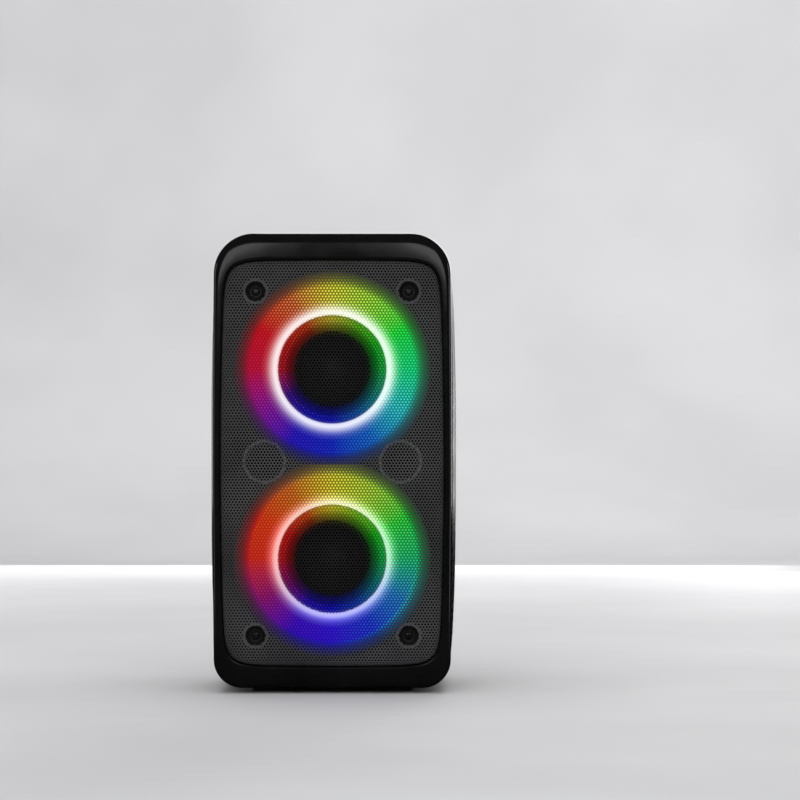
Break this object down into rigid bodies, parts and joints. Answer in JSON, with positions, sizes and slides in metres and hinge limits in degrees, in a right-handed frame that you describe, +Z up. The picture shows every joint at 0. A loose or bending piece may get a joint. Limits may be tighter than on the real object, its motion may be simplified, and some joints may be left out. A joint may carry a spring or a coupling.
{
  "type": "party speaker",
  "caption": "Tall portable speaker: perforated front over lit driver rings, bowed dimpled cheeks, rear frame whose top bar is the handle, connector panel at the back.",
  "frame": {"origin": "centre of the bounding box on the floor, under the feet", "axes": "+Z up, front towards -Y, X across the front"},
  "size_m": [0.1688, 0.14, 0.3102],
  "materials": {
    "gloss_black": "polished black ABS",
    "satin_black": "satin, finely textured black ABS",
    "grille_metal": "black powder-coated perforated steel",
    "matt_black": "matt moulded black",
    "rubber": "matt black rubber",
    "steel": "bright plated steel",
    "dark_steel": "black zinc",
    "ferrite": "matt sintered ferrite",
    "cone": "matt black polypropylene",
    "copper": "lacquered copper wire",
    "spider_cloth": "resin-dipped cloth",
    "diffuser": "translucent white, lit from inside in a ring of colours",
    "circuit_board": "solder mask",
    "battery_wrap": "shrink sleeve",
    "button_grey": "satin grey",
    "lamp_lens": "clear lens"
  },
  "bodies": {
    "cabinet": {"amplifier_board": "circuit_board", "aux_jack": "matt_black", "battery_pack": "battery_wrap", "cabinet_shell": "satin_black", "charge_lamp": "lamp_lens", "connector_board": "circuit_board", "connector_panel": "satin_black", "front_baffle": "matt_black", "front_bezel": "gloss_black", "front_left_foot": "rubber", "front_right_foot": "rubber", "grille": "grille_metal", "grille_screw_1": "dark_steel", "grille_screw_2": "dark_steel", "grille_screw_3": "dark_steel", "grille_screw_4": "dark_steel", "handle_cup": "satin_black", "key_board": "circuit_board", "left_side_cheek": "gloss_black", "lower_driver_basket": "dark_steel", "lower_driver_lead": "rubber", "lower_driver_magnet": "ferrite", "lower_driver_yoke": "steel", "lower_light_board": "circuit_board", "lower_light_diffuser": "diffuser", "lower_spider": "spider_cloth", "lower_surround": "rubber", "memory_card_slot": "steel", "panel_screw_1": "dark_steel", "panel_screw_2": "dark_steel", "panel_screw_3": "dark_steel", "rear_frame": "gloss_black", "rear_left_foot": "rubber", "rear_panel": "satin_black", "rear_right_foot": "rubber", "reflex_port_left": "satin_black", "reflex_port_right": "satin_black", "right_side_cheek": "gloss_black", "top_panel": "satin_black", "upper_driver_basket": "dark_steel", "upper_driver_lead": "rubber", "upper_driver_magnet": "ferrite", "upper_driver_yoke": "steel", "upper_light_board": "circuit_board", "upper_light_diffuser": "diffuser", "upper_spider": "spider_cloth", "upper_surround": "rubber", "usb_a_port": "steel", "usb_c_port": "steel"},
    "power_button": {"power_button": "button_grey"},
    "mode_button": {"mode_button": "satin_black"},
    "previous_key": {"previous_key": "rubber"},
    "volume_down_key": {"volume_down_key": "rubber"},
    "play_key": {"play_key": "rubber"},
    "volume_up_key": {"volume_up_key": "rubber"},
    "next_key": {"next_key": "rubber"},
    "upper_cone": {"upper_driver_cone": "cone", "upper_voice_coil": "copper"},
    "lower_cone": {"lower_driver_cone": "cone", "lower_voice_coil": "copper"}
  },
  "joints": [
    {"name": "power_press", "type": "slide", "parent": "cabinet", "child": "power_button", "axis": [0, -1, 0], "range_m": [0, 0.0008], "stiffness_N_per_m": 800},
    {"name": "mode_press", "type": "slide", "parent": "cabinet", "child": "mode_button", "axis": [0, -1, 0], "range_m": [0, 0.0008], "stiffness_N_per_m": 800},
    {"name": "previous_press", "type": "slide", "parent": "cabinet", "child": "previous_key", "axis": [0, 0, -1], "range_m": [0, 0.0008], "stiffness_N_per_m": 800},
    {"name": "volume_down_press", "type": "slide", "parent": "cabinet", "child": "volume_down_key", "axis": [0, 0, -1], "range_m": [0, 0.0008], "stiffness_N_per_m": 800},
    {"name": "play_press", "type": "slide", "parent": "cabinet", "child": "play_key", "axis": [0, 0, -1], "range_m": [0, 0.0008], "stiffness_N_per_m": 800},
    {"name": "volume_up_press", "type": "slide", "parent": "cabinet", "child": "volume_up_key", "axis": [0, 0, -1], "range_m": [0, 0.0008], "stiffness_N_per_m": 800},
    {"name": "next_press", "type": "slide", "parent": "cabinet", "child": "next_key", "axis": [0, 0, -1], "range_m": [0, 0.0008], "stiffness_N_per_m": 800},
    {"name": "upper_cone_excursion", "type": "slide", "parent": "cabinet", "child": "upper_cone", "axis": [0, -1, 0], "range_m": [-0.003, 0.003], "stiffness_N_per_m": 1500, "deforming": ["upper_surround", "upper_spider"]},
    {"name": "lower_cone_excursion", "type": "slide", "parent": "cabinet", "child": "lower_cone", "axis": [0, -1, 0], "range_m": [-0.003, 0.003], "stiffness_N_per_m": 1500, "deforming": ["lower_surround", "lower_spider"]}
  ]
}
